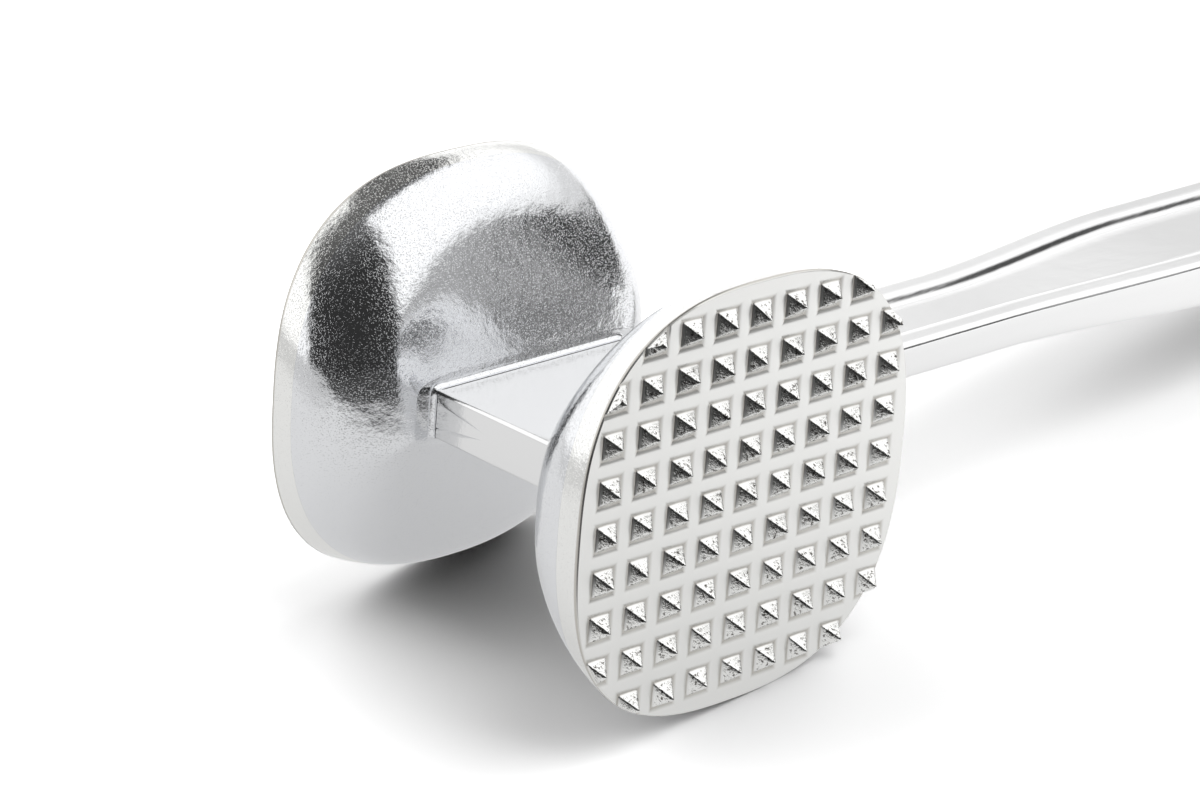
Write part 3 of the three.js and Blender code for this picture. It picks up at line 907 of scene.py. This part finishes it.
# %% Matt plate
def matt_plate():
    """Cast and left matt: a pale land, moats greyed with painted shade, shiny teeth darker in their
    pits.
    """
    material, tree, shader, place = new_metal(
        "matt_cast_aluminium", MATT_ALUMINIUM, MATT_ROUGHNESS)
    bands = plate_bands(tree, place)
    pits = add_node(tree, "ShaderNodeTexNoise", [
        ("Vector", place), ("Scale", grain_scale(PIT_WIDTH)), ("Detail", 3.0),
        ("Roughness", PIT_FINENESS)])
    deep_pits = add_node(tree, "ShaderNodeMapRange", [
        ("Value", pits.outputs["Fac"]), ("From Min", PIT_DARK_FROM), ("From Max", PIT_DARK_FULL)])
    # The teeth are darker in their pits
    dark_pit_share = add_node(tree, "ShaderNodeMath", [
        (0, deep_pits.outputs["Result"]), (1, bands["tooth"])], operation="MULTIPLY")
    # Painted shade: the moats are greyed, on the face only
    moat_shade = add_node(tree, "ShaderNodeMath", [
        (0, bands["moat_shade"]), (1, bands["face"])], operation="MULTIPLY")
    colour = linear(MATT_ALUMINIUM)
    for share, hex_colour in ((moat_shade, MOAT_SHADE_GREY), (dark_pit_share, PIT_DARK_GREY)):
        # A colour mix has its colours at inputs 6 and 7 and gives its result at output 2
        colour = add_node(tree, "ShaderNodeMix", [
            ("Factor", share.outputs["Value"]), (6, colour), (7, linear(hex_colour))],
            data_type="RGBA").outputs[2]
    rough = SATIN_ROUGHNESS
    for band, roughness in (("face", MATT_ROUGHNESS), ("tooth", FACET_ROUGHNESS)):
        rough = add_node(tree, "ShaderNodeMix", [
            ("Factor", bands[band]), ("A", rough), ("B", roughness)],
            data_type="FLOAT").outputs["Result"]
    wall = add_node(tree, "ShaderNodeMath", [(0, 1.0), (1, bands["face"])], operation="SUBTRACT")
    pitted = add_node(tree, "ShaderNodeMapRange", [("Value", bands["tooth"]), ("To Min", LAND_PITS)])
    pitted = add_node(tree, "ShaderNodeMath", [
        (0, pitted.outputs["Result"]), (1, bands["face"])], operation="MULTIPLY")
    skin = tumbled_skin(tree, place, wall.outputs["Value"])
    bump = add_node(tree, "ShaderNodeBump", [
        ("Height", pits.outputs["Fac"]), ("Strength", pitted.outputs["Value"]),
        ("Distance", PIT_HEIGHT * MM), ("Normal", skin)])
    tree.links.new(colour, shader.inputs["Base Color"])
    tree.links.new(rough, shader.inputs["Roughness"])
    tree.links.new(bump.outputs["Normal"], shader.inputs["Normal"])
    return material


# %% [markdown]
# ## Polished handle
#
# The handle is cast too, but ground on a belt and polished. That leaves it nearly a mirror, with
# faint streaks along it and slow waves that bend what it reflects. The streaks could follow a
# UV map. The handle lies nearly along x, though, so a Mapping node that stretches the noise
# along x does the same without one.

# %% Polished casting
POLISHED_ALUMINIUM = "#e6e6e6"
POLISHED_ROUGHNESS = 0.12

# Streaks of the belt and the slower waves of grinding by hand, in millimetres
STREAK_LENGTH = 12.0
STREAK_WIDTH = 0.5
STREAK_HEIGHT = 0.008
GRINDING_WIDTH = 4.0
GRINDING_HEIGHT = 0.03


def polished_casting():
    """Ground and polished casting: nearly a mirror, with faint streaks along x."""
    material, tree, shader, place = new_metal(
        "polished_cast_aluminium", POLISHED_ALUMINIUM, POLISHED_ROUGHNESS)
    stretched = add_node(tree, "ShaderNodeMapping", [
        ("Vector", place), ("Scale", (STREAK_WIDTH / STREAK_LENGTH, 1.0, 1.0))])
    streaks = add_node(tree, "ShaderNodeTexNoise", [
        ("Vector", stretched.outputs["Vector"]), ("Scale", grain_scale(STREAK_WIDTH)),
        ("Detail", 3.0)])
    waves = add_node(tree, "ShaderNodeTexNoise", [
        ("Vector", place), ("Scale", grain_scale(GRINDING_WIDTH)), ("Detail", 2.0)])
    wave_bump = add_node(tree, "ShaderNodeBump", [
        ("Height", waves.outputs["Fac"]), ("Strength", 1.0), ("Distance", GRINDING_HEIGHT * MM)])
    bump = add_node(tree, "ShaderNodeBump", [
        ("Height", streaks.outputs["Fac"]), ("Strength", 1.0), ("Distance", STREAK_HEIGHT * MM),
        ("Normal", wave_bump.outputs["Normal"])])
    tree.links.new(bump.outputs["Normal"], shader.inputs["Normal"])
    return material


# %% [markdown]
# ## Stainless steel screws
#
# The screws and washers are inside the closed cups. They are plain turned stainless steel, a
# little darker and bluer than the aluminium, with rings from the lathe. The real rings are about
# 0.1 mm apart. That is too fine to show, so they are drawn a good millimetre apart.

# %% Screw steel
STAINLESS_STEEL = "#b9bbbf"
TURNED_ROUGHNESS = 0.3

# In millimetres. This spacing gives the texture a scale of 250.
RING_SPACING = 0.4 * math.pi
RING_HEIGHT = 0.01
RING_STRENGTH = 0.3

# A wave texture of scale 1 turns through this angle over one unit of length
WAVE_RADIANS = 20.0


def screw_steel():
    """Turned stainless steel: a soft shine with rings across y, the screws' own axis."""
    material, tree, shader, place = new_metal(
        "turned_stainless_steel", STAINLESS_STEEL, TURNED_ROUGHNESS)
    scale = 2 * math.pi / (WAVE_RADIANS * RING_SPACING * MM)
    rings = add_node(tree, "ShaderNodeTexWave", [
        ("Vector", place), ("Scale", scale)], bands_direction="Y")
    bump = add_node(tree, "ShaderNodeBump", [
        ("Height", rings.outputs["Fac"]), ("Strength", RING_STRENGTH),
        ("Distance", RING_HEIGHT * MM)])
    tree.links.new(bump.outputs["Normal"], shader.inputs["Normal"])
    return material


# %% [markdown]
# ## Finish every piece
#
# Each new piece gets one finish, and so do the eight fixings, which keep their CAD meshes. They
# could be made again as well, but nobody sees them: both cups are closed.

# %% Finish every piece
finishes = {
    "satin_casting": satin_casting(),
    "matt_plate": matt_plate(),
    "polished_casting": polished_casting(),
    "screw_steel": screw_steel(),
}
new_pieces = {
    "satin_casting": list(cups.values()),
    "matt_plate": list(plates.values()),
    "polished_casting": [handle],
}
for slot, pieces in new_pieces.items():
    for piece in pieces:
        piece.data.materials.clear()
        piece.data.materials.append(finishes[slot])

fixings = [f"{end}_cup_{part}_{side}" for end in ("front", "rear")
           for part in ("screw", "washer") for side in ("handle_side", "tip_side")]
for name in fixings:
    for material_slot in bpy.data.objects[name].material_slots:
        material_slot.material = finishes["screw_steel"]
print(len(finishes), "finishes are on", sum(map(len, new_pieces.values())) + len(fixings), "pieces")

# %% [markdown]
# ## Painting in layers
#
# Bright metal looks like what is around it, so the studio is most of its look. Softboxes could
# be modelled as lit planes, but they would hide each other and light the object twice. Here
# the surroundings are one pattern instead, painted in layers. Each layer covers what lies
# beyond all of its edges, and an edge is the soft border of a half space. The same function
# paints the directions of the sky and the places on the paper.

# %% Layers
def layered(tree, place, edges, layers, strength):
    """A strength, painted over by each layer in turn where a place is beyond all its edges.

    An edge grows from 0 to 1 while place . facing goes from low to high. A layer is the names
    of its edges and its own strength.
    """
    beyond = {}
    for name, (facing, low, high) in edges.items():
        dot = add_node(tree, "ShaderNodeVectorMath", [
            (0, place), (1, facing)], operation="DOT_PRODUCT")
        beyond[name] = add_node(tree, "ShaderNodeMapRange", [
            ("Value", dot.outputs["Value"]), ("From Min", low), ("From Max", high)],
            interpolation_type="SMOOTHSTEP").outputs["Result"]
    for names, painted in layers:
        share = 1.0
        for name in names:
            share = add_node(tree, "ShaderNodeMath", [
                (0, share), (1, beyond[name])], operation="MULTIPLY").outputs["Value"]
        strength = add_node(tree, "ShaderNodeMix", [
            ("Factor", share), ("A", strength), ("B", painted)], data_type="FLOAT").outputs["Result"]
    return strength


# %% [markdown]
# ## The studio
#
# The reflections in the photograph show how it was: a dark room at the left, a wide soft light
# to the right that starts a hand's breadth above the table and is weaker near its lower edge,
# a grey wall under it that gets darker to the right, a dim ceiling, and a white backdrop
# behind. Where the camera looks past the object, the world is plain white.

# %% Studio
ROOM_STRENGTH = 0.045

# Each edge: the way it faces in the sky, and between which values of direction . facing it grows
STUDIO_EDGES = {
    "right": ((1.0, 0.0, 0.49), 0.33, 0.42),
    "ahead": ((0.08, -0.92, -1.0), -0.97, -0.88),
    "rightmost": ((1.0, 0.0, 0.0), 0.62, 0.78),
    "above": ((0.0, 0.335, 1.0), 0.05, 0.13),
    "high": ((0.0, 0.0, 1.0), 0.2, 0.45),
    "behind": ((0.0, 1.0, 0.0), 0.26, 0.36),
    "below": ((-0.648, 0.554, -0.522), -0.3, -0.2),
    "ceiling": ((0.0, 0.5, 1.0), 0.55, 1.05),
}

# Each layer: beyond which edges it lies, and how bright it is
STUDIO_LAYERS = (
    # The dim ceiling
    (("ceiling",), 0.17),
    # The grey wall, and its darker end
    (("right", "ahead"), 0.55),
    (("right", "ahead", "rightmost"), 0.08),
    # The soft light, and its brighter upper part
    (("right", "ahead", "above"), 1.05),
    (("right", "ahead", "above", "high"), 1.7),
    # The white backdrop
    (("behind", "below"), 1.6),
)

world = bpy.data.worlds.new("studio")
bpy.context.scene.world = world
world.use_nodes = True
tree = world.node_tree
tree.nodes.clear()
direction = add_node(tree, "ShaderNodeTexCoord").outputs["Generated"]
studio = layered(tree, direction, STUDIO_EDGES, STUDIO_LAYERS, ROOM_STRENGTH)
to_camera = add_node(tree, "ShaderNodeLightPath").outputs["Is Camera Ray"]
seen = add_node(tree, "ShaderNodeMix", [
    ("Factor", to_camera), ("A", studio), ("B", 1.0)], data_type="FLOAT")
glow = add_node(tree, "ShaderNodeBackground", [("Strength", seen.outputs["Result"])])
add_node(tree, "ShaderNodeOutputWorld", [("Surface", glow.outputs["Background"])])
print("the studio has", len(STUDIO_LAYERS), "layers over a dark room")

# %% [markdown]
# ## The paper
#
# The object lies on white paper, which is exposed brighter than white in the photograph. So the
# camera sees it brighter than real paper, and the metal sees it as it is. In the reflections it
# ends in front of the head at the left, where a dark table begins, and farther out at the
# right. For the metal the paper glows by itself, with a part of its real shadow mixed in,
# because a sheet this bright would light up every dark facet. What the paper throws back at
# itself is kept low, and the metal throws no light on it, so the shadow between the cups stays
# deep.

# %% Paper
PAPER_TO_CAMERA = 2.2
PAPER_TO_ITSELF = 0.15
PAPER_TO_METAL = 1.0
SHADOW_TO_METAL = 0.4

# Edges and layers are written as the studio's are, with places on the table in metres
PAPER_EDGES = {
    "rightwards": ((1.0, 0.0, 0.0), -0.15, 0.1),
    "far_left": ((-1.0, 0.0, 0.0), 0.25, 0.33),
    "past_corner": ((-0.775, -1.0, 0.0), 0.09, 0.13),
    "past_right": ((0.0, -1.0, 0.0), 0.17, 0.2),
    "past_front": ((0.0, -1.0, 0.0), 0.054, 0.084),
    "past_left": ((-1.0, 0.0, 0.0), 0.11, 0.14),
}
PAPER_LAYERS = (
    # More light falls on it towards the right, and less at the far left
    (("rightwards",), 1.4),
    (("far_left",), 0.78),
    # The table past its edge, at the right and at the left
    (("past_corner", "past_right"), 0.22),
    (("past_front", "past_left"), 0.07),
)

paper = bpy.data.materials.new("white_paper")
paper.use_nodes = True
tree = paper.node_tree
tree.nodes.clear()
place = add_node(tree, "ShaderNodeTexCoord").outputs["Object"]
to_metal = layered(tree, place, PAPER_EDGES, PAPER_LAYERS, PAPER_TO_METAL)
rays = add_node(tree, "ShaderNodeLightPath")

# Diffuse Depth is 0 until a ray has met one matt surface, and a mix takes all above 1 as 1
shade = to_metal
for seen_by, brightness in (("Is Camera Ray", PAPER_TO_CAMERA), ("Diffuse Depth", PAPER_TO_ITSELF)):
    shade = add_node(tree, "ShaderNodeMix", [
        ("Factor", rays.outputs[seen_by]), ("A", shade), ("B", brightness)],
        data_type="FLOAT").outputs["Result"]
matt = add_node(tree, "ShaderNodeBsdfDiffuse", [("Color", shade)])
glowing = add_node(tree, "ShaderNodeEmission", [("Strength", to_metal)])

# Only the metal's reflections see the glow: glossy rays that have met nothing matt before
straight = add_node(tree, "ShaderNodeMath", [
    (0, rays.outputs["Diffuse Depth"]), (1, 1.0)], operation="LESS_THAN")
glow_share = 1 - SHADOW_TO_METAL
for share in (rays.outputs["Is Glossy Ray"], straight.outputs["Value"]):
    glow_share = add_node(tree, "ShaderNodeMath", [
        (0, share), (1, glow_share)], operation="MULTIPLY").outputs["Value"]
sheet = add_node(tree, "ShaderNodeMixShader", [
    (0, glow_share), (1, matt.outputs["BSDF"]), (2, glowing.outputs["Emission"])])
add_node(tree, "ShaderNodeOutputMaterial", [("Surface", sheet.outputs["Shader"])])

# The glow is there for reflections alone, so it isn't sampled as a lamp
paper.cycles.emission_sampling = "NONE"
print("the paper has", len(PAPER_LAYERS), "layers over its strength of", PAPER_TO_METAL)

# %% [markdown]
# ## The sheet
#
# The paper has to reach past the picture in every view, so it is one large flat face. Blender's
# own plane would do as well, but four corners are as quick to write down.

# %% Floor
FLOOR_HALF = 4.0

floor_mesh = bpy.data.meshes.new("floor")
corners = [(x * FLOOR_HALF, y * FLOOR_HALF, 0.0) for x, y in ((-1, -1), (1, -1), (1, 1), (-1, 1))]
floor_mesh.from_pydata(corners, [], [(0, 1, 2, 3)])
floor_mesh.materials.append(paper)
floor = bpy.data.objects.new("floor", floor_mesh)
bpy.context.scene.collection.objects.link(floor)
print("the floor is", 2 * FLOOR_HALF, "m wide")

# %% [markdown]
# ## How the picture is made
#
# The Standard view shows a colour about as it is written. Light that the metal throws onto the
# paper is left out: the photograph's shadows are deep, and such light is slow to work out.

# %% View
bpy.context.scene.view_settings.view_transform = "Standard"
bpy.context.scene.cycles.caustics_reflective = False
